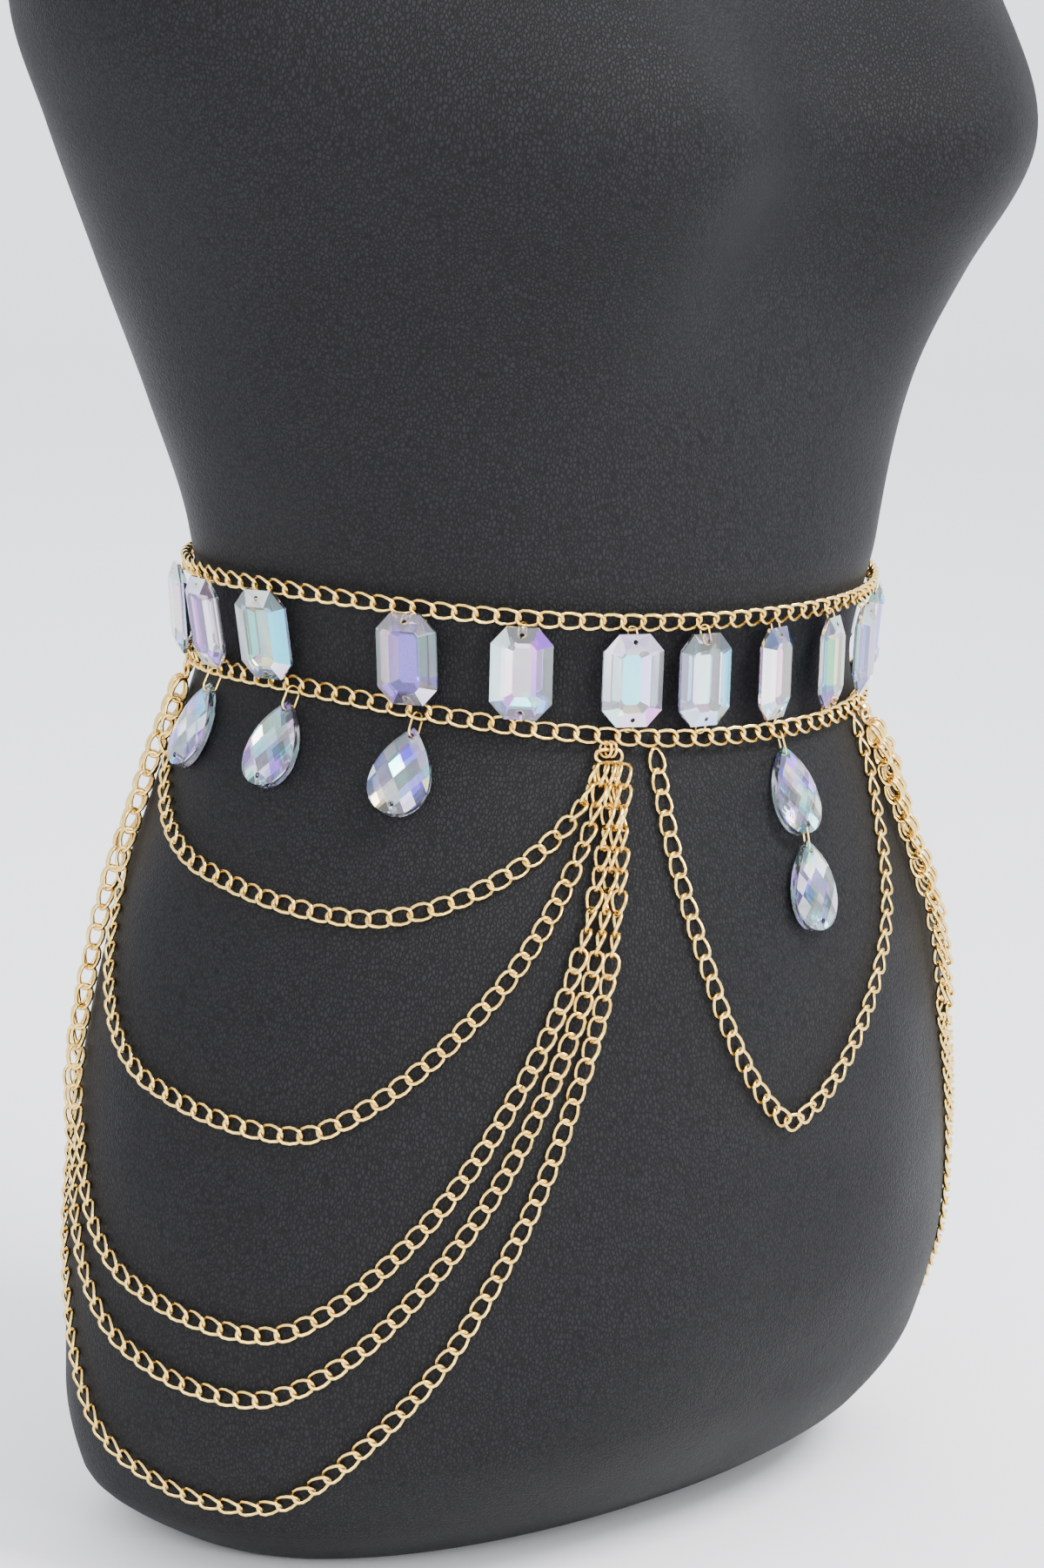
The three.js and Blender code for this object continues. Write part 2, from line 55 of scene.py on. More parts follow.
# The form's sections, in millimetres: height, half width, depth to the front, depth to the back.
ROUNDNESS = 2.2
FORM = np.array([
    (0, 124, 64, 92), (21, 153, 94, 98), (50, 161, 117, 98), (92, 160, 132, 100),
    (143, 154, 136, 101), (193, 143, 133, 96), (243, 122, 120, 90), (281, 105.5, 109, 86),
    (320, 115, 114.5, 81), (361, 131, 113, 89), (404, 149.5, 111, 101), (446, 169, 122.5, 108),
    (480, 181, 112.5, 117.5), (530, 187, 97, 120.5), (590, 186, 84, 106), (630, 170, 72, 88),
    (655, 128, 62, 73), (680, 74, 54, 61), (705, 55, 51, 55), (740, 51, 50, 53),
], dtype=float)
FORM_TOP = 740.0
FORM_EDGE = 8.0
FORM_EDGE_INSET = 7.0
# How many rows of points its cover has up its rounded edge and in all, and how many points round it.
COVER = {"edge": 7, "rows": 230, "round": 200}
BUST = {"x": 84, "z": 446, "lift": 33, "spread": 42, "fullness": 1.4}

# The belt, in millimetres. lift is the height of a chain's middle above the form.
SEAM = 0.3
CHAIN = {"pitch": 6.45, "width": 6.3, "rail": 1.15, "thick": 1.8, "lift": 2.8}
# A link's points round its loop and round its wire, and the power of its superellipse.
LINK = {"steps": 14, "sides": 5, "roundness": 2.5}
ROW = {"side": 309.3, "dip": 6.5, "dip_shape": 1.6, "apart": 31.3, "apart_front": 6.4, "apart_shape": 1.4}
STONES_AT = (0, 28.5, 53, 86, 120, 171, 200, 229, 270)
HIP_DROPS_AT = (117, 162, 200)
FRONT_DROP_AT = -3
STONE = {"width": 19, "length": 28.5, "corner_x": 4.6, "corner_y": 5.2, "thick": 5.5, "girdle": 1.2,
         "table": 0.5, "clear": 0.85, "hole_at": 2.3}
# A step-cut stone's outlines from back to front: share of the width, share of the corner cut, and height
# as a share of half the thickness.
STEP_CUT = ((0.3, 0.2, -1.0), (0.6, 0.46, -0.72), (1.0, 1.0, -0.2), (1.0, 1.0, 0.2), (0.5, 0.32, 1.0))
# Stones that the photograph shows turned on their rings, and the most that another is turned, in degrees.
STONE_TURNS = {"stone_front": 12, "stone_right_3": -6, "stone_right_5": 8, "stone_left_1": 9}
STONE_TURN = 8
# The ring through a stone's hole: its wire, its bend, and how far its width leans out and across.
JUMP_RING = {"wire": 0.65, "bend": 1.35, "out": 0.55, "across": 0.83}
# hole is the radius of a drop's holes as a share of a stone's.
DROP = {"width": 19, "length": 28, "thick": 5.6, "clear": 0.45, "taper": 0.8, "widest": 0.79,
        "middle": 0.58, "hole_at": 2.9, "bar": 0.9, "hole": 1.25}
# A chequer-cut drop's lozenges: width and height, how far the dome falls over one, front and back, and how
# many of them the lattice reaches from its middle.
LOZENGE = {"width": 5.0, "height": 7.4, "front": 0.5, "back": 0.42, "reach": 2.3}
DROP_RING = {"wire": 0.7, "inside": 1.7, "hang": 3.875, "turn": 30}
GATHER_RING = {"wire": 1.2, "bend": 2, "straight": 4.4, "clear": 0.5}
# The two small loops that hold a gather ring to the lower row. lean is the way that their width lies.
GATHER_LOOP = {"wire": 0.9, "aside": 0.8, "half_width": 2.0, "above": 0.1, "lean": (0.7, 0, 0.72)}
# A clasp's bow swells at its back. Its lever is a small oval at x and y.
CLASP = {"length": 14, "width": 7.4, "wire": 1.5, "swell": 0.75, "inset_x": 1.0, "inset_y": 0.9}
LEVER = {"wire": 0.9, "x": -1.0, "y": 2.9, "half_length": 1.7, "half_height": 0.55}
# Links stand on edge where the next swag is beside them, and lie flat where it is further off by crowd.
# Those on edge are turned by up to jostle, in radians. bend is the share of a swag that its lowest bend is
# rounded over, on either side.
SWAG = {"width": 6.3, "thick": 1.5, "clear": 0.5, "beside": 2.1, "crowd": 6, "jostle": 0.55, "bend": 0.075}
GATHERS = {"front": -119.5, "back": -212, "front_step": 1.13, "back_step": 1.33}
# Each swag: the angle and height of its lowest point, its two halves' roundness, its place at the gather.
SWAGS = (
    (-154, 213.5, (1.6, 1.87), 2), (-158, 148.5, (1.42, 2.26), 1), (-159.5, 86.5, (1.58, 2.39), 0),
    (-160.5, 65.5, (1.68, 2.38), -1), (-157.5, 29, (1.71, 2.64), -2),
)
FRONT_SWAG = (-92.5, 146.5, (1.45, 1.3), (-111.2, -64.8))
LINE_SAMPLES = 360

# The photograph's camera, fitted to the form's outline. focal is in pixels of its 1200 x 1802 frame.
CAMERA = {"azimuth": -45.99, "elevation": 10.37, "distance": 1525.8, "focal": 5356.9, "height": 232.6,
          "aside": 5.76, "roll": 1.46, "rows": 1802}

# Colours of the coating on a stone's facets and how common each is: white, pale blue, blue, teal, lilac,
# pink, pale gold, and grey, which is no coating but painted dark reflection on the facets it falls to.
GLINTS = np.array([
    (1.00, 1.00, 1.00), (0.74, 0.88, 1.00), (0.12, 0.28, 0.98), (0.06, 0.72, 0.70),
    # The last colour, grey, is painted dark reflection: it darkens facets as if they showed the black form.
    (0.38, 0.10, 0.92), (0.98, 0.38, 0.70), (0.96, 0.84, 0.30), (0.10, 0.13, 0.17),
])
GLINT_SHARES = np.array([0.24, 0.10, 0.13, 0.15, 0.17, 0.06, 0.05, 0.10])
# How much a facet mirrors: choices for the back and the front, then the edges and the flat table.
MIRRORS = {"back": (0.03, 0.12, 0.4, 0.9, 1.0), "front": (0.04, 0.1, 0.75), "edge": 0.5, "table": 0.04}
# A facet is an edge one or the table by how far it faces out. clear is the share of the front's facets that
# stay white, and run the most of the second colour that a corner takes.
FACETS = {"edge": 0.3, "table": 0.97, "clear": 0.5, "run": 0.55}

# The finishes' noise, its scales per metre, and how far it carries colour and roughness from the settings.
GOLD = {"cloud": 160, "fine": 900, "dark": 0.86, "bright": 1.1, "smooth": 0.8, "rough": 1.3}
LEATHER = {"wrinkle": 420, "worn": 14, "dark": 0.55, "bright": 1.35, "smooth": 0.88, "rough": 1.15}
# A pebble of the grain: its width as a share of its height, the share that its rounded edge takes, its
# depth beside the wrinkles', and the depth of both in metres.
PEBBLE = {"draw_out": 0.6, "edge": 0.28, "over_wrinkles": 0.6, "depth": 0.0003}

# The stage: the sky, and each lamp's name, place in metres, size and watts, all turned to one point.
SKY = {"colour": (0.93, 0.95, 1.0, 1), "strength": 2.1}
LAMPS = (
    ("key", (0.5, -1.5, 2.1), 0.9, 100), ("side", (-2.0, -1.2, 1.2), 0.8, 30),
    ("rim", (1.6, 1.9, 1.6), 0.9, 6), ("spark", (-0.6, -2.2, 0.7), 0.25, 16),
)
LAMPS_AIM = (0, 0, 0.3)


# Settings that a user would change

class BeltFormSettings(bpy.types.PropertyGroup):
    colour: FloatVectorProperty(
        name="Cover colour", description="Colour of the form's leather-grain cover", subtype="COLOR",
        size=3, min=0, max=1, default=(0.0115, 0.0115, 0.0123))
    grain: FloatProperty(
        name="Grain", description="Size of one pebble of the grain", unit="LENGTH", default=0.0011)
    roughness: FloatProperty(name="Roughness", description="Roughness of the cover", default=0.53)


class BeltChainSettings(bpy.types.PropertyGroup):
    colour: FloatVectorProperty(
        name="Gold colour", description="Colour of the plated links", subtype="COLOR", size=3, min=0,
        max=1, default=(0.95, 0.65, 0.19))
    wire: FloatProperty(
        name="Link wire", description="Thickness of a link's wire", unit="LENGTH", default=0.00128)
    twist: FloatProperty(
        name="Link twist", description="How far each end of a link is turned", subtype="ANGLE",
        default=np.radians(31))
    roughness: FloatProperty(name="Roughness", description="Roughness of the plating", default=0.2)
    seed: IntProperty(name="Seed", description="Order of the crowded links' turns", default=5)


class BeltStoneSettings(bpy.types.PropertyGroup):
    clarity: FloatProperty(
        name="Clarity", description="Share of light that goes through a clear facet", default=0.96)
    hole: FloatProperty(
        name="Drilled hole", description="Radius of the holes in the stones", unit="LENGTH",
        default=0.00075)
    seed: IntProperty(name="Seed", description="Order of the coating's colours", default=11)


class BeltStageSettings(bpy.types.PropertyGroup):
    floor: FloatVectorProperty(
        name="Floor colour", description="Colour of the plain floor", subtype="COLOR", size=3, min=0,
        max=1, default=(0.95, 0.957, 0.97))
    light: FloatProperty(name="Light", description="Strength of the soft lights", default=1.0)


# Meshes and materials

def put_piece(name, points, faces, body, slot, nodes=(), smooth=True):
    """A mesh of points in millimetres and faces, riding on a body and standing for the named nodes."""
    mesh = bpy.data.meshes.new(name)
    mesh.from_pydata((np.asarray(points) * MM).tolist(), [], [list(map(int, face)) for face in faces])
    mesh.validate()
    mesh.polygons.foreach_set("use_smooth", np.full(len(mesh.polygons), smooth))
    mesh.update()
    piece = bpy.data.objects.new(name, mesh)
    bpy.context.scene.collection.objects.link(piece)
    mesh.materials.append(bpy.data.materials[MATERIAL_OF[slot]])
    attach(piece, body)
    if nodes:
        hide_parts(*nodes)
    return piece


def grid_faces(rows, columns, round_rows=False, round_columns=True):
    """The quads of a grid of rows x columns points, joined end to end where it is round."""
    r = np.arange(rows if round_rows else rows - 1)[:, None]
    c = np.arange(columns if round_columns else columns - 1)[None, :]
    far_r, far_c = (r + 1) % rows, (c + 1) % columns
    quads = [r * columns + c, r * columns + far_c, far_r * columns + far_c, far_r * columns + c]
    return np.stack([np.broadcast_to(q, (r.size, c.size)) for q in quads], -1).reshape(-1, 4)


def closed_stack(rings):
    """Points and faces of a stack of rings with flat ends, each ring (n, 3) and counter-clockwise from
    above."""
    rows, n = len(rings), len(rings[0])
    faces = grid_faces(rows, n).tolist()
    faces.append(list(range(n))[::-1])
    faces.append(list(range((rows - 1) * n, rows * n)))
    return np.concatenate(rings), faces


def tube_points(path, wire, sides, closed=True):
    """A tube round a path (n, 3): circles of the wire's radius in the plane square to the path."""
    if closed:
        along = np.roll(path, -1, 0) - np.roll(path, 1, 0)
    else:
        along = np.gradient(path, axis=0)
    along /= np.linalg.norm(along, axis=1, keepdims=True)
    away = path - path.mean(0)
    away -= along * (away * along).sum(1, keepdims=True)
    away /= np.linalg.norm(away, axis=1, keepdims=True)
    third = np.cross(along, away)
    turn = np.linspace(0, 2 * np.pi, sides, endpoint=False)[None, :, None]
    radius = np.broadcast_to(np.asarray(wire, dtype=float) / 2, len(path))[:, None, None]
    ring = away[:, None] * np.cos(turn) + third[:, None] * np.sin(turn)
    return (path[:, None] + radius * ring).reshape(-1, 3)


MATERIAL_OF = {"gold_chain": "Plated gold", "crystal": "Coated crystal", "black_form": "Leather grain"}


def new_material(slot):
    material = bpy.data.materials.new(MATERIAL_OF[slot])
    material.use_nodes = True
    nodes = material.node_tree.nodes
    return material, nodes, material.node_tree.links, nodes["Principled BSDF"]


def noise(nodes, links, vector, scale, detail=3.0):
    texture = nodes.new("ShaderNodeTexNoise")
    texture.inputs["Scale"].default_value = scale
    texture.inputs["Detail"].default_value = detail
    links.new(vector, texture.inputs["Vector"])
    return texture.outputs["Fac"]


def spread(nodes, links, value, low, high):
    """Carries a noise's usual range, 0.3 to 0.7, to low..high."""
    mapped = nodes.new("ShaderNodeMapRange")
    mapped.inputs["From Min"].default_value = 0.3
    mapped.inputs["From Max"].default_value = 0.7
    mapped.inputs["To Min"].default_value = low
    mapped.inputs["To Max"].default_value = high
    links.new(value, mapped.inputs["Value"])
    return mapped.outputs["Result"]


def make_gold(settings):
    """Bright plating: thin cloudy patches change its colour and roughness a little."""
    material, nodes, links, shader = new_material("gold_chain")
    coords = nodes.new("ShaderNodeTexCoord").outputs["Object"]
    cloud = noise(nodes, links, coords, GOLD["cloud"])
    ramp = nodes.new("ShaderNodeValToRGB")
    colour = np.array(settings.colour)
    ramp.color_ramp.elements[0].position = 0.35
    ramp.color_ramp.elements[0].color = (*(colour * GOLD["dark"]), 1)
    ramp.color_ramp.elements[1].position = 0.65
    ramp.color_ramp.elements[1].color = (*np.minimum(colour * GOLD["bright"], 1), 1)
    links.new(cloud, ramp.inputs["Fac"])
    links.new(ramp.outputs["Color"], shader.inputs["Base Color"])
    fine = noise(nodes, links, coords, GOLD["fine"], 2)
    rough = settings.roughness
    links.new(spread(nodes, links, fine, rough * GOLD["smooth"], rough * GOLD["rough"]),
              shader.inputs["Roughness"])
    shader.inputs["Metallic"].default_value = 1.0
    return material


def make_crystal(settings):
    """Clear crystal. The Glint attribute carries the coating's colours and, on grey facets, painted dark
    reflection, and the Mirror attribute how much each facet mirrors."""
    material, nodes, links, shader = new_material("crystal")
    glint = nodes.new("ShaderNodeAttribute")
    glint.attribute_name = "Glint"
    links.new(glint.outputs["Color"], shader.inputs["Base Color"])
    mirror = nodes.new("ShaderNodeAttribute")
    mirror.attribute_name = "Mirror"
    links.new(mirror.outputs["Fac"], shader.inputs["Metallic"])
    shader.inputs["Roughness"].default_value = 0.03
    shader.inputs["IOR"].default_value = 1.5
    shader.inputs["Transmission Weight"].default_value = settings.clarity
    shader.inputs["Coat Weight"].default_value = 0.5
    shader.inputs["Coat Roughness"].default_value = 0.02
    return material


def make_leather(settings):
    """Black cover: pebbles of grain from a cell pattern drawn out downwards, with fine wrinkles over it."""
    material, nodes, links, shader = new_material("black_form")
    coords = nodes.new("ShaderNodeTexCoord").outputs["Object"]
    mapping = nodes.new("ShaderNodeMapping")
    mapping.inputs["Scale"].default_value = (1.0, 1.0, PEBBLE["draw_out"])
    links.new(coords, mapping.inputs["Vector"])
    cells = nodes.new("ShaderNodeTexVoronoi")
    cells.feature = "DISTANCE_TO_EDGE"
    cells.inputs["Scale"].default_value = 1 / settings.grain
    links.new(mapping.outputs["Vector"], cells.inputs["Vector"])
    pebble = nodes.new("ShaderNodeMapRange")
    pebble.inputs["From Max"].default_value = PEBBLE["edge"]
    links.new(cells.outputs["Distance"], pebble.inputs["Value"])
    wrinkle = noise(nodes, links, mapping.outputs["Vector"], LEATHER["wrinkle"], 6)
    height = nodes.new("ShaderNodeMath")
    height.operation = "MULTIPLY_ADD"
    height.inputs[1].default_value = PEBBLE["over_wrinkles"]
    links.new(pebble.outputs["Result"], height.inputs[0])
    links.new(wrinkle, height.inputs[2])
    bump = nodes.new("ShaderNodeBump")
    bump.inputs["Strength"].default_value = 0.9
    bump.inputs["Distance"].default_value = PEBBLE["depth"]
    links.new(height.outputs["Value"], bump.inputs["Height"])
    links.new(bump.outputs["Normal"], shader.inputs["Normal"])
    ramp = nodes.new("ShaderNodeValToRGB")
    colour = np.array(settings.colour)
    ramp.color_ramp.elements[0].color = (*(colour * LEATHER["dark"]), 1)
    ramp.color_ramp.elements[1].color = (*(colour * LEATHER["bright"]), 1)
    links.new(pebble.outputs["Result"], ramp.inputs["Fac"])
    links.new(ramp.outputs["Color"], shader.inputs["Base Color"])
    worn = noise(nodes, links, coords, LEATHER["worn"], 3)
    rough = settings.roughness
    links.new(spread(nodes, links, worn, rough * LEATHER["smooth"], rough * LEATHER["rough"]),
              shader.inputs["Roughness"])
    shader.inputs["Specular IOR Level"].default_value = 0.06
    return material


# The form's surface and the lines laid on it, in millimetres and radians

def smooth_column(column):
    """A column of FORM as a function of height: cubic pieces whose slopes are harmonic means."""
    z, value = FORM[:, 0], FORM[:, column]
    rate = np.diff(value) / np.diff(z)
    before, after = np.append(rate[0], rate), np.append(rate, rate[-1])
    same_way = before * after > 0
    slope = np.where(same_way, 2 * before * after / np.where(same_way, before + after, 1), 0)

    def at(height):
        i = np.clip(np.searchsorted(z, height, side="right") - 1, 0, len(z) - 2)
        span = z[i + 1] - z[i]
        t = np.clip((height - z[i]) / span, 0, 1)
        start = (1 + 2 * t) * (1 - t) ** 2 * value[i] + t * (1 - t) ** 2 * span * slope[i]
        return start + t * t * (3 - 2 * t) * value[i + 1] - t * t * (1 - t) * span * slope[i + 1]

    return at


half_at, front_at, back_at = smooth_column(1), smooth_column(2), smooth_column(3)


def rounded(value, roundness=ROUNDNESS):
    """A cosine or sine to the power 2/roundness with its sign kept, as in a superellipse."""
    return np.sign(value) * np.abs(value) ** (2 / roundness)


def form_point(angle, z, inset=0.0):
    """Superellipse sections, half width times cos and depth times sin to the power 2/ROUNDNESS, plus two
    rounded rises in front."""
    angle, z, inset = np.broadcast_arrays(np.asarray(angle, float), np.asarray(z, float), inset)
    sine = np.sin(angle)
    x = (half_at(z) - inset) * rounded(np.cos(angle))
    depth = np.where(sine < 0, front_at(z), back_at(z))
    rise = 0
    for apex_x in (BUST["x"], -BUST["x"]):
        from_apex = ((x - apex_x) ** 2 + (z - BUST["z"]) ** 2) / (2 * BUST["spread"] ** 2)
        rise = rise + BUST["lift"] * np.exp(-(from_apex ** BUST["fullness"])) * np.maximum(0, -sine)
    return np.stack([x, (depth - inset) * rounded(sine) - rise, z], -1)


def unit(vectors):
    return vectors / np.linalg.norm(vectors, axis=-1, keepdims=True)


def form_normal(angle, z):
    turn, rise = np.radians(0.6), 1.0
    along = form_point(angle + turn, z) - form_point(angle - turn, z)
    up = form_point(angle, z + rise) - form_point(angle, z - rise)
    return unit(np.cross(along, up))


def lifted(angle, z, lift):
    return form_point(angle, z) + form_normal(angle, z) * np.asarray(lift, float)[..., None]


def frontness(angle):
    return np.maximum(0, -np.sin(angle))


def upper_row(angle):
    return ROW["side"] - ROW["dip"] * frontness(angle) ** ROW["dip_shape"]


def lower_row(angle):
    return upper_row(angle) - ROW["apart"] - ROW["apart_front"] * frontness(angle) ** ROW["apart_shape"]


def below(angle, distance):
    """The height at a distance below the lower row, measured down the form."""
    normal = form_normal(angle, lower_row(angle))
    return lower_row(angle) - distance * np.hypot(normal[..., 0], normal[..., 1])


def lay_line(angle, z, lift, roll=0.0):
    """A line through points lifted off the form, with its length and the frames at distances along it."""
    roll = np.broadcast_to(roll, angle.shape)
    points = lifted(angle, z, np.broadcast_to(lift, angle.shape))
    lengths = np.append(0, np.cumsum(np.linalg.norm(np.diff(points, axis=0), axis=1)))

    def pick(values, s):
        return np.interp(s, lengths, values)

    def point_at(s):
        return np.stack([pick(points[:, i], s) for i in range(3)], -1)

    def frames(s):
        s = np.atleast_1d(np.clip(s, 0, lengths[-1]))
        near = 0.4
        along = unit(point_at(np.minimum(s + near, lengths[-1])) - point_at(np.maximum(s - near, 0)))
        flat_side = unit(np.cross(form_normal(pick(angle, s), pick(z, s)), along))
        flat_out = np.cross(along, flat_side)
        turned = pick(roll, s)[:, None]
        side = flat_side * np.cos(turned) + flat_out * np.sin(turned)
        out = flat_out * np.cos(turned) - flat_side * np.sin(turned)
        return {"middle": point_at(s), "along": along, "side": side, "out": out, "angle": pick(angle, s),
                "roll": pick(roll, s)}

    return {"length": lengths[-1], "frames": frames}


def waist_line(row):
    angle = np.radians(90 - 360 * np.linspace(0, 1, LINE_SAMPLES + 1))
    return lay_line(angle, row(angle), CHAIN["lift"])


def angle_at(distance):
    """The angle at a distance round the belt's middle line from the front, positive to the form's right."""
    angle = np.radians(-90 - 180 * np.linspace(0, 1, LINE_SAMPLES + 1))
    points = lifted(angle, (upper_row(angle) + lower_row(angle)) / 2, np.full(angle.shape, CHAIN["lift"]))
    lengths = np.append(0, np.cumsum(np.linalg.norm(np.diff(points, axis=0), axis=1)))
    found = np.interp(abs(distance), lengths, angle)
    return -np.pi - found if distance < 0 else found


def hanging_route(low, z, shapes, ends, drop, k):
    """A superellipse for each half, |aside|^shape + |down|^shape = 1, from one end to the other. The ends
    hang a drop below the lower row."""
    first = k < 0.5
    power = 2 / np.where(first, *shapes)
    end = np.radians(np.where(first, *ends))
    across = np.abs(np.cos(np.pi * k)) ** power
    down = np.abs(np.sin(np.pi * k)) ** power
    top = below(end, drop)
    low = np.radians(low)
    return low + across * (end - low), top - (top - z) * down


def swag_route(row, k):
    low, z, shapes, place = row
    ends = (GATHERS["front"] - place * GATHERS["front_step"],
            GATHERS["back"] + place * GATHERS["back_step"])
    drop = CHAIN["width"] / 2 + GATHER_RING["clear"] + 2 * GATHER_RING["bend"] + GATHER_RING["wire"] + SEAM
    return hanging_route(low, z, shapes, ends, drop, k)


def eased(values, k):
    """Rounds the bend at a swag's lowest point: a running mean over a share of the swag on either side. It
    counts in full at the bottom and fades to nothing at the ends, as the sine of pi k to the 8th power."""
    reach = int(SWAG["bend"] * LINE_SAMPLES)
    window = np.hanning(2 * reach + 3)[1:-1]
    mean = np.convolve(np.pad(values, reach, mode="edge"), window / window.sum(), "valid")
    return values + (mean - values) * np.sin(np.pi * k) ** 8


def swag_line(index):
    """A hip swag's line. It lies flat where it hangs free, and stands on edge where its neighbours crowd
    it."""
    k = np.linspace(0, 1, LINE_SAMPLES + 1)
    angle, z = (eased(values, k) for values in swag_route(SWAGS[index], k))
    own = form_point(angle, z)
    beside = [form_point(*swag_route(SWAGS[i], k)) for i in (index - 1, index + 1) if 0 <= i < len(SWAGS)]
    others = np.concatenate(beside)
    room = np.sqrt(((own[:, None] - others[None]) ** 2).sum(-1).min(1))
    flat = np.clip((room - SWAG["beside"]) / SWAG["crowd"], 0, 1)
    roll = np.arccos(flat)
    lift = SWAG["clear"] + (SWAG["width"] * np.sin(roll) + SWAG["thick"] * flat) / 2
    return lay_line(angle, z, lift, roll)


def front_swag_line():
    k = np.linspace(0, 1, LINE_SAMPLES + 1)
    route = hanging_route(*FRONT_SWAG, CHAIN["width"] / 2 + SEAM, k)
    angle, z = (eased(values, k) for values in route)
    return lay_line(angle, z, SWAG["clear"] + CHAIN["thick"] / 2)


# Links

def link_points(pitch, settings):
    """One curb link: a superellipse loop, longer than the pitch by two wires, whose ends are turned about
    its length by the twist in proportion to their distance from its middle."""
    wire = settings.wire / MM
    turn = np.linspace(0, 2 * np.pi, LINK["steps"], endpoint=False) + np.pi / LINK["steps"]
    reach = (pitch + wire) / 2
    x = reach * rounded(np.cos(turn), LINK["roundness"])
    y = (CHAIN["width"] - wire) / 2 * rounded(np.sin(turn), LINK["roundness"])
    twist = settings.twist * x / reach
    path = np.stack([x, y * np.cos(twist), y * np.sin(twist)], -1)
    return tube_points(path, wire, LINK["sides"])


def chain_mesh(line, start, end, settings, rng=None):
    """Links every pitch along a line, each one link's points carried into the line's frame there. With a
    random generator, links that stand on edge are each turned a little their own way."""
    count = int(round((end - start) / CHAIN["pitch"]))
    pitch = (end - start) / count
    frames = line["frames"](start + (np.arange(count) + 0.5) * pitch)
    link = link_points(pitch, settings)
    side, out = frames["side"], frames["out"]
    if rng:
        turn = rng.uniform(-SWAG["jostle"], SWAG["jostle"], count) * np.minimum(frames["roll"], 1)
        turn = turn[:, None]
        side, out = side * np.cos(turn) + out * np.sin(turn), out * np.cos(turn) - side * np.sin(turn)
    axes = np.stack([frames["along"], side, out], 1)
    points = frames["middle"][:, None] + np.einsum("pk,nkc->npc", link, axes)
    quads = grid_faces(LINK["steps"], LINK["sides"], round_rows=True)
    faces = quads[None] + (np.arange(count) * len(link))[:, None, None]
    return points.reshape(-1, 3), faces.reshape(-1, 4)


def mirror(points, faces):
    """The same mesh on the form's other side, with its faces turned to point out again."""
    return points * (-1, 1, 1), np.asarray(faces)[:, ::-1]


# Frames of stones and drops

def basis(origin, across, above):
    """Rows of a frame with X across the form, Y up towards a point and Z out of the form."""
    up = above - origin
    up = unit(up - across * (up @ across))
    return np.stack([across, up, np.cross(across, up)])


def across_at(angle, z):
    normal = form_normal(angle, z)
    return unit(np.array([-normal[1], normal[0], 0.0]))


def chain_place(angle, z):
    """A point at the chains' height over the form, and the frame there."""
    rise = 5
    origin = lifted(angle, z, CHAIN["lift"])
    return origin, basis(origin, across_at(angle, z), lifted(angle, z + rise, CHAIN["lift"]))


def stone_place(distance):
    """Where a stone hangs: flush between the rows where they leave it room, or over their edges."""
    angle = angle_at(distance)
    top, foot = upper_row(angle), lower_row(angle)
    flush = STONE["thick"] / 2 + STONE["clear"]
    apart = np.linalg.norm(lifted(angle, top, flush) - lifted(angle, foot, flush))
    overlap = STONE["length"] / 2 - (apart / 2 - CHAIN["width"] / 2)
    slope = (STONE["thick"] - STONE["girdle"]) / STONE["width"] / (1 - STONE["table"])
    over_chain = CHAIN["lift"] + CHAIN["thick"] / 2 + SEAM + STONE["girdle"] / 2 + overlap * slope
    lift = over_chain if overlap > -SEAM else flush
    above = lifted(angle, top, lift)
    middle = (lifted(angle, foot, lift) + above) / 2
    return middle, basis(middle, across_at(angle, (top + foot) / 2), above), angle


def rail_at(distance):
    """The middle of the lower chain's lower rail, at the link nearest to a distance round the belt."""
    line = waist_line(lower_row)
    start = CLASP["length"] / 2 + SEAM
    count = int(round((line["length"] - 2 * start) / CHAIN["pitch"]))
    holes = start + (np.arange(count) + 0.5) * (line["length"] - 2 * start) / count
    frames = line["frames"](holes)
    angle = angle_at(distance)
    wanted = lifted(angle, lower_row(angle), CHAIN["lift"])
    i = int(np.argmin(np.linalg.norm(frames["middle"] - wanted, axis=1)))
    rail = (CHAIN["width"] - CHAIN["rail"]) / 2
    return frames["middle"][i] + frames["side"][i] * rail, -frames["along"][i], frames["angle"][i], rail


def drop_place(bar, across, angle, distance):
    """A drop's frame at the bar that its ring hangs from."""
    tip = DROP_RING["hang"] - DROP["bar"]
    z = below(angle, distance + tip + DROP["length"] / 2)
    middle = lifted(angle, z, DROP["thick"] / 2 + DROP["clear"])
    return basis(bar, across, 2 * bar - middle)


def turned_aside(axes, turn):
    """A frame turned about its own upright axis."""
    across, up, out = axes
    return np.stack([across * np.cos(turn) - out * np.sin(turn), up,
                     out * np.cos(turn) + across * np.sin(turn)])


def in_place(points, origin, axes):
    return origin + points @ axes


# Cut stones

def octagon(share, corner):
    """The stone's outline inset evenly to a share of its half width, with its corners cut by a share of
    theirs."""
    x = STONE["width"] / 2 * share
    y = STONE["length"] / 2 - STONE["width"] / 2 * (1 - share)
    in_x, in_y = x - STONE["corner_x"] * corner, y - STONE["corner_y"] * corner
    return np.array([(x, -in_y), (x, in_y), (in_x, y), (-in_x, y), (-x, in_y), (-x, -in_y), (-in_x, -y),
                     (in_x, -y)])


def pear(count=44):
    """The drop's outline below its tip: width as sin(t) sin(t/2)^taper, height as cos(t)."""
    turn = -np.linspace(0, 2 * np.pi, count, endpoint=False)
    x = DROP["width"] / 2 / DROP["widest"] * np.sin(turn) * np.abs(np.sin(turn / 2)) ** DROP["taper"]
    return np.stack([x, DROP["length"] / 2 * (np.cos(turn) - 1)], -1)


def step_cut():
    """The octagon's points and faces: flat facets between its outlines, and a flat table on top."""
    rings = []
    for share, corner, height in STEP_CUT:
        ring = octagon(share, corner)
        rings.append(np.column_stack([ring, np.full(len(ring), height * STONE["thick"] / 2)]))
    return closed_stack(rings)


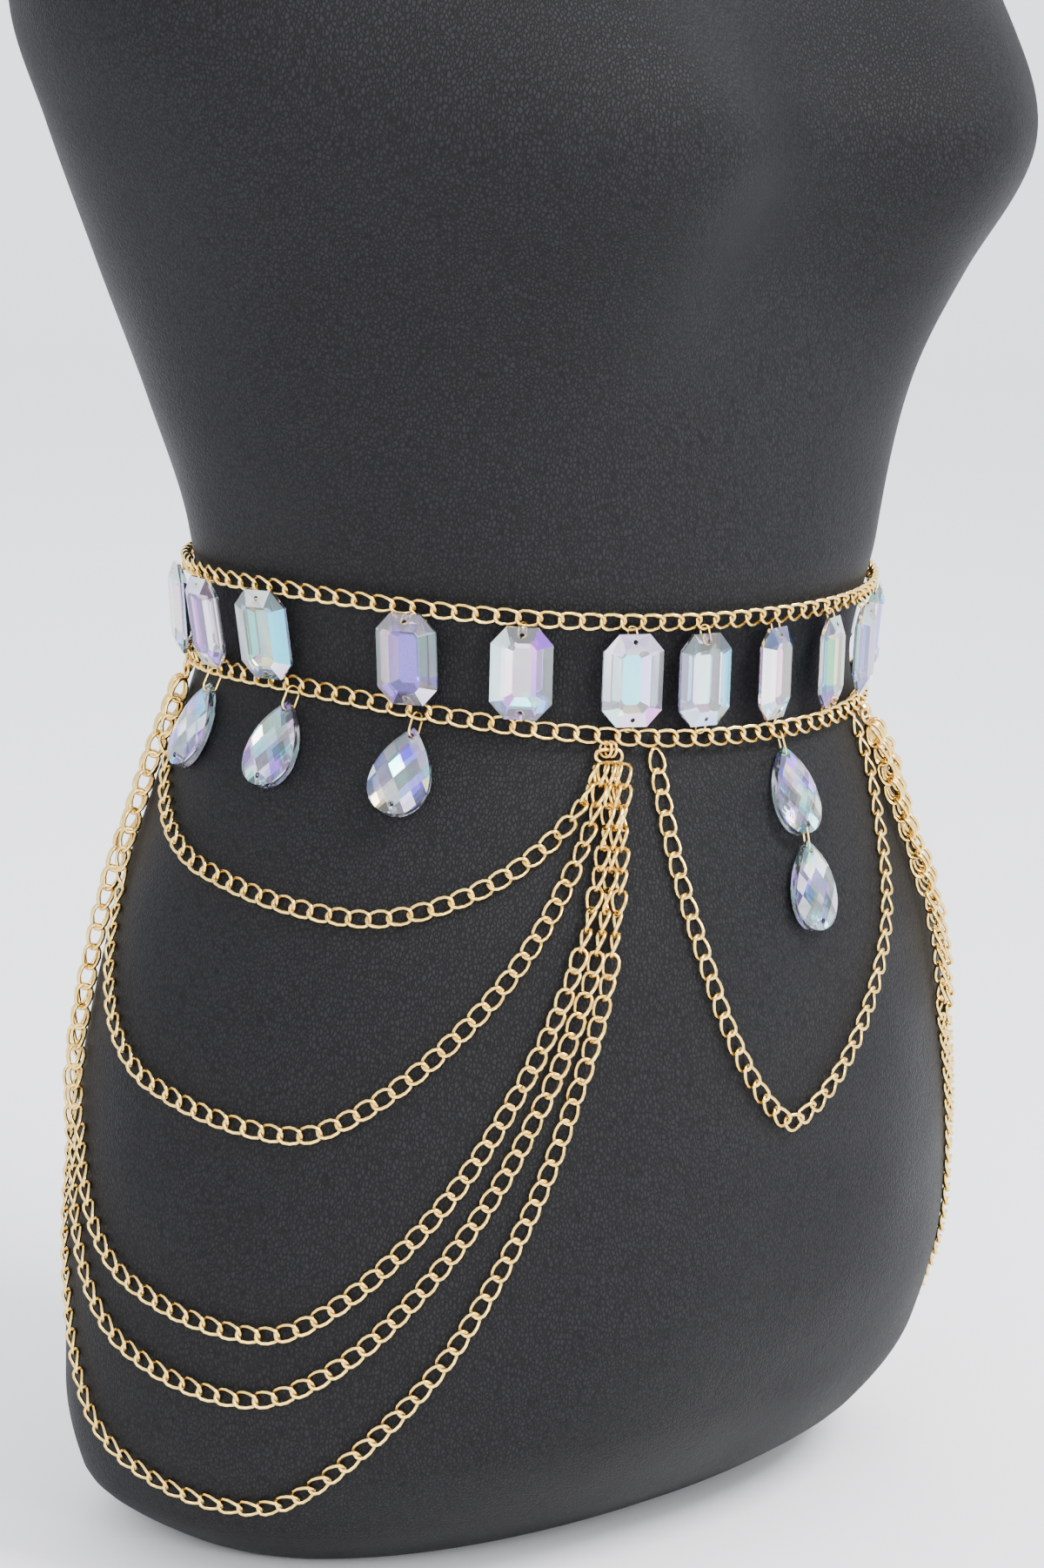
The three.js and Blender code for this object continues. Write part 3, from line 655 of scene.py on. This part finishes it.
def chequer_cut():
    """The drop: a plate with the pear's outline, cut by planes that touch a dome, height less k times
    (x/width)^2 + (y/height)^2, at the points of a diamond lattice. Such planes meet in lozenges."""
    outline = np.insert(pear(), 2, 0, axis=1)
    half = DROP["thick"] / 2
    uncut = scratch_object("uncut", *closed_stack([outline - (0, 0, half), outline + (0, 0, half)]))
    plate = bmesh.new()
    plate.from_mesh(uncut.data)
    i, j = np.meshgrid(np.arange(-4, 5), np.arange(-5, 6))
    lattice = np.stack([i, j], -1)[(i + j) % 2 == 0] / 2
    lattice = lattice[np.hypot(*lattice.T) < LOZENGE["reach"]]
    centre = -DROP["length"] * DROP["middle"]
    for side, fall in ((1, LOZENGE["front"]), (-1, LOZENGE["back"])):
        x, y = lattice[:, 0], lattice[:, 1]
        touch = np.column_stack([x * LOZENGE["width"], centre + y * LOZENGE["height"],
                                 side * (half - fall * (x * x + y * y))])
        normals = np.column_stack([2 * fall * x / LOZENGE["width"], 2 * fall * y / LOZENGE["height"],
                                   np.full(len(x), side)])
        for at, normal in zip(touch, normals):
            every = plate.verts[:] + plate.edges[:] + plate.faces[:]
            cut = bmesh.ops.bisect_plane(plate, geom=every, plane_co=at, plane_no=normal,
                                         clear_outer=True, dist=1e-6)
            edges = [item for item in cut["geom_cut"] if isinstance(item, bmesh.types.BMEdge)]
            open_edges = [edge for edge in edges if edge.is_boundary]
            if open_edges:
                bmesh.ops.edgeloop_fill(plate, edges=open_edges)
    bmesh.ops.recalc_face_normals(plate, faces=plate.faces[:])
    plate.to_mesh(uncut.data)
    plate.free()
    points, faces = points_and_faces(uncut.data)
    clear_away(uncut)
    return points, faces


def drilled(points, faces, holes, radius):
    """A cut stone's points and faces with round holes through it: Blender's exact boolean cuts a cylinder
    at each hole."""
    stone = scratch_object("uncut", points, faces)
    past = 9
    for x, y in holes:
        circle = oval(radius, radius, 12) + (x, y, 0)
        bit = scratch_object("bit", *closed_stack([circle - (0, 0, past), circle + (0, 0, past)]))
        cut = stone.modifiers.new("Drill", "BOOLEAN")
        cut.operation = "DIFFERENCE"
        cut.solver = "EXACT"
        cut.object = bit
    cut_stone = stone.evaluated_get(bpy.context.evaluated_depsgraph_get())
    points, faces = points_and_faces(cut_stone.to_mesh())
    cut_stone.to_mesh_clear()
    clear_away(*[modifier.object for modifier in stone.modifiers], stone)
    return points, faces


def scratch_object(name, points, faces):
    mesh = bpy.data.meshes.new(name)
    mesh.from_pydata(np.asarray(points).tolist(), [], [list(map(int, face)) for face in faces])
    made = bpy.data.objects.new(name, mesh)
    bpy.context.scene.collection.objects.link(made)
    return made


def points_and_faces(mesh):
    """A mesh's points as an array and its faces as lists."""
    points = np.empty(len(mesh.vertices) * 3, dtype=np.float32)
    mesh.vertices.foreach_get("co", points)
    return points.reshape(-1, 3).astype(float), [list(face.vertices) for face in mesh.polygons]


def clear_away(*scratch):
    for used in scratch:
        mesh = used.data
        bpy.data.objects.remove(used)
        bpy.data.meshes.remove(mesh)


def colour_facets(piece, front, rng):
    """Gives facets that face alike one colour of the coating, or the grey of painted dark reflection,
    running into a second towards some corners.
    Facets at the back carry the mirror-like coating, edges are white, and most at the front stay clear."""
    mesh = piece.data
    normals = np.array([face.normal[:] for face in mesh.polygons])
    totals = np.array([face.loop_total for face in mesh.polygons])
    keys = np.unique(np.round(normals, 1), axis=0, return_inverse=True)[1].ravel()
    kinds = keys.max() + 1
    first, second = GLINTS[rng.choice(len(GLINTS), size=(2, kinds), p=GLINT_SHARES)][:, keys]
    facing = normals @ front
    edge = np.abs(facing) < FACETS["edge"]
    first[edge | ((facing > 0) & (rng.random(kinds)[keys] < FACETS["clear"]))] = GLINTS[0]
    share = (rng.random(totals.sum()) * FACETS["run"])[:, None]
    per_corner = np.repeat(first, totals, axis=0) * (1 - share) + np.repeat(second, totals, axis=0) * share
    at_back = rng.choice(MIRRORS["back"], kinds)[keys]
    at_front = rng.choice(MIRRORS["front"], kinds)[keys]
    mirror = np.where(edge, MIRRORS["edge"], np.where(facing < 0, at_back, at_front))
    mirror[facing > FACETS["table"]] = MIRRORS["table"]
    glint = mesh.color_attributes.new(name="Glint", type="FLOAT_COLOR", domain="CORNER")
    glint.data.foreach_set("color", np.column_stack([per_corner, np.ones(len(per_corner))]).ravel())
    mesh.attributes.new(name="Mirror", type="FLOAT", domain="FACE").data.foreach_set("value", mirror)


# Rings of wire

def stadium(bend, straight, steps=14):
    """A stadium in the XY plane: its upper bend is centred on the origin and its lower on y = -straight."""
    turn = np.linspace(0, np.pi, steps)
    upper = np.column_stack([bend * np.cos(turn), bend * np.sin(turn), 0 * turn])
    return np.concatenate([upper, -upper - (0, straight, 0)])


def oval(half_x, half_y, steps=24):
    """An oval in the XY plane: half_x times cos t, half_y times sin t."""
    turn = np.linspace(0, 2 * np.pi, steps, endpoint=False)
    return np.column_stack([half_x * np.cos(turn), half_y * np.sin(turn), 0 * turn])


def ring_mesh(path, wire, sides=10):
    return tube_points(path, wire, sides), grid_faces(len(path), sides, round_rows=True)


def joined(meshes):
    """Several meshes of points and quads as one."""
    counts = np.cumsum([0] + [len(points) for points, _ in meshes[:-1]])
    faces = [np.asarray(faces) + count for (_, faces), count in zip(meshes, counts)]
    return np.concatenate([points for points, _ in meshes]), np.concatenate(faces)


# Operators

class BELT_OT_form(bpy.types.Operator):
    """Builds the form's smooth cover from its superellipse sections"""
    bl_idname = "belt.form"
    bl_label = "Dress form"

    def execute(self, context):
        make_leather(context.scene.belt_form)
        turn = np.linspace(0, np.pi / 2, COVER["edge"])
        inset = FORM_EDGE_INSET * (1 - np.sin(turn))
        edge = FORM_EDGE * (1 - np.cos(turn))
        wall = np.linspace(FORM_EDGE, FORM_TOP - FORM_EDGE, COVER["rows"])[1:-1]
        heights = np.concatenate([edge, wall, FORM_TOP - edge[::-1]])
        insets = np.concatenate([inset, 0 * wall, inset[::-1]])
        angle = np.linspace(0, 2 * np.pi, COVER["round"], endpoint=False)
        points = form_point(angle[None], heights[:, None], insets[:, None])
        points, faces = closed_stack(list(points))
        put_piece("form_cover", points, faces, "root", "black_form", ["dress_form"])
        return {"FINISHED"}


class BELT_OT_chains(bpy.types.Operator):
    """Builds the links of the belt's two rows and of the swags"""
    bl_idname = "belt.chains"
    bl_label = "Chains"

    def execute(self, context):
        settings = context.scene.belt_chain
        make_gold(settings)
        start = CLASP["length"] / 2 + SEAM
        for name, row in (("chain_upper", upper_row), ("chain_lower", lower_row)):
            line = waist_line(row)
            mesh = chain_mesh(line, start, line["length"] - start, settings)
            put_piece(name + "_links", *mesh, "root", "gold_chain", [name])
        rng = np.random.default_rng(settings.seed)
        line = front_swag_line()
        mesh = chain_mesh(line, 0, line["length"], settings)
        put_piece("swag_front_links", *mesh, "root", "gold_chain", ["swag_front"])
        for index in range(len(SWAGS)):
            line = swag_line(index)
            mesh = chain_mesh(line, 0, line["length"], settings, rng)
            for side, sided in ((RIGHT, mesh), (LEFT, mirror(*mesh))):
                node = f"swag_{side}_{index + 1}"
                put_piece(node + "_links", *sided, "root", "gold_chain", [node])
        return {"FINISHED"}


class BELT_OT_stones(bpy.types.Operator):
    """Builds the octagon stones and the jump rings that hold them"""
    bl_idname = "belt.stones"
    bl_label = "Stones"

    def execute(self, context):
        settings = context.scene.belt_stone
        make_crystal(settings)
        rng = np.random.default_rng(settings.seed)
        hole_y = STONE["length"] / 2 - STONE["hole_at"]
        points, faces = drilled(*step_cut(), [(0, hole_y), (0, -hole_y)], settings.hole / MM)
        held = []
        for i, distance in enumerate(STONES_AT):
            for side, sign in ((RIGHT, 1), (LEFT, -1)) if i else (("front", 1),):
                node = f"stone_{side}_{i}" if i else "stone_front"
                middle, axes, angle = stone_place(sign * distance)
                turn = STONE_TURNS[node] if node in STONE_TURNS else rng.uniform(-STONE_TURN, STONE_TURN)
                axes = turned_aside(axes, np.radians(turn))
                piece = put_piece(node + "_cut", in_place(points, middle, axes), faces, "root", "crystal",
                                  [node], smooth=False)
                colour_facets(piece, axes[2], rng)
                for end, row in ((1, upper_row), (-1, lower_row)):
                    held.append(self.jump_ring(middle + axes[1] * end * hole_y, axes, angle, row, end))
        put_piece("stone_rings", *joined(held), "root", "gold_chain")
        return {"FINISHED"}

    @staticmethod
    def jump_ring(hole, axes, angle, row, end):
        """A stadium of wire through a stone's hole and round the nearer rail of a chain."""
        rail = (CHAIN["width"] - CHAIN["rail"]) / 2
        normal = form_normal(angle, row(angle))
        side = np.cross(normal, across_at(angle, row(angle)))
        near_rail = lifted(angle, row(angle), CHAIN["lift"]) - end * rail * side * np.sign(side[2])
        reach = np.linalg.norm(near_rail - hole)
        up = (near_rail - hole) / reach
        skew = unit(axes[2] * JUMP_RING["out"] + axes[0] * JUMP_RING["across"])
        wide = unit(skew - up * (skew @ up))
        points, faces = ring_mesh(stadium(JUMP_RING["bend"], reach), JUMP_RING["wire"], 8)
        return in_place(points, near_rail, np.stack([wide, up, np.cross(wide, up)])), faces


class BELT_OT_drops(bpy.types.Operator):
    """Builds the pear drops and their rings, each on its own swinging body"""
    bl_idname = "belt.drops"
    bl_label = "Drops"

    def execute(self, context):
        settings = context.scene.belt_stone
        rng = np.random.default_rng(settings.seed + 1)
        holes = [(0, -DROP["hole_at"]), (0, DROP["hole_at"] - DROP["length"])]
        stone = drilled(*chequer_cut(), holes, settings.hole / MM * DROP["hole"])
        for i, distance in enumerate(HIP_DROPS_AT):
            for side, sign in ((RIGHT, 1), (LEFT, -1)):
                self.add_drop(f"drop_{side}_{i + 1}", *rail_at(sign * distance), stone, rng)
        bar, across, angle, rail = rail_at(FRONT_DROP_AT)
        axes = self.add_drop("drop_front_upper", bar, across, angle, rail, stone, rng)
        pitch = DROP_RING["hang"] - DROP["bar"] + DROP["length"] - DROP["bar"]
        self.add_drop("drop_front_lower", bar - axes[1] * pitch, across, angle, rail + pitch, stone, rng)
        return {"FINISHED"}

    @staticmethod
    def add_drop(name, bar, across, angle, distance, stone, rng):
        axes = drop_place(bar, across, angle, distance)
        tip = DROP_RING["hang"] - DROP["bar"]
        points, faces = stone
        piece = put_piece(name + "_cut", in_place(points - (0, tip, 0), bar, axes), faces, name, "crystal",
                          [name], smooth=False)
        colour_facets(piece, axes[2], rng)
        path = stadium(DROP_RING["inside"] + DROP_RING["wire"] / 2, DROP_RING["hang"])[:, [2, 1, 0]]
        path = path @ turned_aside(np.eye(3), -np.radians(DROP_RING["turn"]))
        points, faces = ring_mesh(path, DROP_RING["wire"])
        put_piece(name + "_link", in_place(points, bar, axes), faces, name, "gold_chain",
                  [name + "_ring"])
        return axes


class BELT_OT_fittings(bpy.types.Operator):
    """Builds the gather rings and the clasps"""
    bl_idname = "belt.fittings"
    bl_label = "Rings and clasps"

    def execute(self, context):
        for end in ("front", "back"):
            angle = np.radians(GATHERS[end])
            self.gather_ring(f"gather_ring_{RIGHT}_{end}", angle)
            self.gather_ring(f"gather_ring_{LEFT}_{end}", -np.pi - angle)
        for name, row in (("clasp_upper", upper_row), ("clasp_lower", lower_row)):
            self.clasp(name, row)
        return {"FINISHED"}

    @staticmethod
    def gather_ring(node, angle):
        bend, straight, wire = GATHER_RING["bend"], GATHER_RING["straight"], GATHER_RING["wire"]
        distance = CHAIN["width"] / 2 + GATHER_RING["clear"] + bend + wire / 2
        origin, axes = chain_place(angle, below(angle, distance))
        path = stadium(bend, straight) + (0, straight / 2, 0)
        rings = [ring_mesh(path[:, [1, 0, 2]] * (-1, 1, 1), wire)]
        reach = (distance - CHAIN["width"] / 2 + CHAIN["rail"] / 2 + wire) / 2
        small = oval(reach, GATHER_LOOP["half_width"])[:, [2, 0, 1]] + (0, bend + GATHER_LOOP["above"], 0)
        small = small @ np.array([(1, 0, 0), (0, 1, 0), GATHER_LOOP["lean"]])
        for aside in (-GATHER_LOOP["aside"], GATHER_LOOP["aside"]):
            rings.append(ring_mesh(small + (aside, 0, 0), GATHER_LOOP["wire"], 8))
        points, faces = joined(rings)
        put_piece(node + "_wire", in_place(points, origin, axes), faces, "root", "gold_chain", [node])

    @staticmethod
    def clasp(name, row):
        """A lobster clasp: an oval bow of wire that swells at its back, and a lever on it."""
        at_back, steps = np.pi / 2, 40
        origin, axes = chain_place(at_back, row(at_back))
        cosine = np.cos(np.linspace(0, 2 * np.pi, steps, endpoint=False))
        thick = CLASP["wire"] + CLASP["swell"] * cosine ** 2 * (cosine < 0)
        bow = oval(CLASP["length"] / 2 - CLASP["inset_x"], CLASP["width"] / 2 - CLASP["inset_y"], steps)
        lever = oval(LEVER["half_length"], LEVER["half_height"]) + (LEVER["x"], LEVER["y"], 0)
        points, faces = joined([ring_mesh(bow, thick, 12), ring_mesh(lever, LEVER["wire"], 8)])
        put_piece(name + "_shaped", in_place(points, origin, axes), faces, "root", "gold_chain", [name])


class BELT_OT_stage(bpy.types.Operator):
    """Builds the pale floor, the soft lights and the photograph's camera"""
    bl_idname = "belt.stage"
    bl_label = "Stage"

    def execute(self, context):
        settings = context.scene.belt_stage
        self.floor(settings)
        self.lights(settings)
        self.camera()
        return {"FINISHED"}

    @staticmethod
    def floor(settings):
        """A floor that turns up into a far wall through a quarter circle."""
        wide, near, far, radius, high = 6.0, -6.0, 4.0, 1.2, 6.0
        turn = np.linspace(0, np.pi / 2, 13)
        y = np.concatenate([[near, 0.0], far + radius * np.sin(turn), [far + radius]])
        z = np.concatenate([[0.0, 0.0], radius * (1 - np.cos(turn)), [high]])
        view = np.radians(CAMERA["azimuth"])
        rows = np.stack([np.stack([np.full(len(y), x), y, z], -1) for x in (-wide, wide)], 1)
        turned = rows.reshape(-1, 3) @ np.array(
            [[np.cos(view), np.sin(view), 0], [-np.sin(view), np.cos(view), 0], [0, 0, 1]])
        mesh = bpy.data.meshes.new("floor")
        mesh.from_pydata(turned.tolist(), [], grid_faces(len(y), 2, round_columns=False).tolist())
        mesh.polygons.foreach_set("use_smooth", np.full(len(mesh.polygons), True))
        floor = bpy.data.objects.new("floor", mesh)
        bpy.context.scene.collection.objects.link(floor)
        material = bpy.data.materials.new("Pale floor")
        material.use_nodes = True
        shader = material.node_tree.nodes["Principled BSDF"]
        shader.inputs["Base Color"].default_value = (*settings.floor, 1)
        shader.inputs["Roughness"].default_value = 0.7
        mesh.materials.append(material)

    @staticmethod
    def lights(settings):
        world = bpy.data.worlds.new("Soft sky")
        world.use_nodes = True
        background = world.node_tree.nodes["Background"]
        background.inputs["Color"].default_value = SKY["colour"]
        background.inputs["Strength"].default_value = SKY["strength"] * settings.light
        bpy.context.scene.world = world
        for name, place, size, watts in LAMPS:
            lamp = bpy.data.lights.new(name, "AREA")
            lamp.shape = "SQUARE"
            lamp.size = size
            lamp.energy = watts * settings.light
            light = bpy.data.objects.new(name, lamp)
            bpy.context.scene.collection.objects.link(light)
            back = unit(np.array(place) - LAMPS_AIM)
            light.matrix_world = look_matrix(np.array(place), back)

    @staticmethod
    def camera():
        azimuth, elevation = np.radians(CAMERA["azimuth"]), np.radians(CAMERA["elevation"])
        back = np.array([np.sin(azimuth) * np.cos(elevation), -np.cos(azimuth) * np.cos(elevation),
                         np.sin(elevation)])
        right = unit(np.cross(-back, (0, 0, 1)))
        target = np.array([0, 0, CAMERA["height"]]) + right * CAMERA["aside"]
        place = (target + back * CAMERA["distance"]) * MM
        data = bpy.data.cameras.new("camera")
        data.sensor_fit = "VERTICAL"
        data.sensor_height = 36.0
        data.lens = CAMERA["focal"] / CAMERA["rows"] * data.sensor_height
        data.clip_start, data.clip_end = 0.05, 40
        camera = bpy.data.objects.new("camera", data)
        bpy.context.scene.collection.objects.link(camera)
        camera.matrix_world = look_matrix(place, back, np.radians(CAMERA["roll"]))
        bpy.context.scene.camera = camera


def look_matrix(place, back, roll=0.0):
    """A matrix whose -Z looks against back, with its X level and then turned by roll."""
    level = unit(np.cross(-back, (0, 0, 1)))
    above = np.cross(level, -back)
    right = level * np.cos(roll) + above * np.sin(roll)
    up = above * np.cos(roll) - level * np.sin(roll)
    matrix = np.eye(4)
    matrix[:3, :3] = np.stack([right, up, back], 1)
    matrix[:3, 3] = place
    return Matrix(matrix.tolist())


class BELT_PT_panel(bpy.types.Panel):
    """Lists the belt's pieces and their settings"""
    bl_idname = "BELT_PT_panel"
    bl_label = "Chain belt"
    bl_space_type = "VIEW_3D"
    bl_region_type = "UI"
    bl_category = "Belt"

    def draw(self, context):
        for group, fields in (("belt_form", ("colour", "grain", "roughness")),
                              ("belt_chain", ("colour", "wire", "twist", "roughness", "seed")),
                              ("belt_stone", ("clarity", "hole", "seed")),
                              ("belt_stage", ("floor", "light"))):
            for field in fields:
                self.layout.prop(getattr(context.scene, group), field)
        for operator in OPERATORS:
            self.layout.operator(operator.bl_idname)


GROUPS = {"belt_form": BeltFormSettings, "belt_chain": BeltChainSettings, "belt_stone": BeltStoneSettings,
          "belt_stage": BeltStageSettings}
OPERATORS = (BELT_OT_form, BELT_OT_chains, BELT_OT_stones, BELT_OT_drops, BELT_OT_fittings, BELT_OT_stage)


def register():
    for made in (*GROUPS.values(), *OPERATORS, BELT_PT_panel):
        bpy.utils.register_class(made)
    for name, group in GROUPS.items():
        setattr(bpy.types.Scene, name, PointerProperty(type=group))


def unregister():
    for name in GROUPS:
        delattr(bpy.types.Scene, name)
    for made in reversed((*GROUPS.values(), *OPERATORS, BELT_PT_panel)):
        bpy.utils.unregister_class(made)


def main():
    register()
    bpy.ops.belt.form()
    bpy.ops.belt.chains()
    bpy.ops.belt.stones()
    bpy.ops.belt.drops()
    bpy.ops.belt.fittings()
    bpy.ops.belt.stage()


if __name__ == "__main__":
    main()
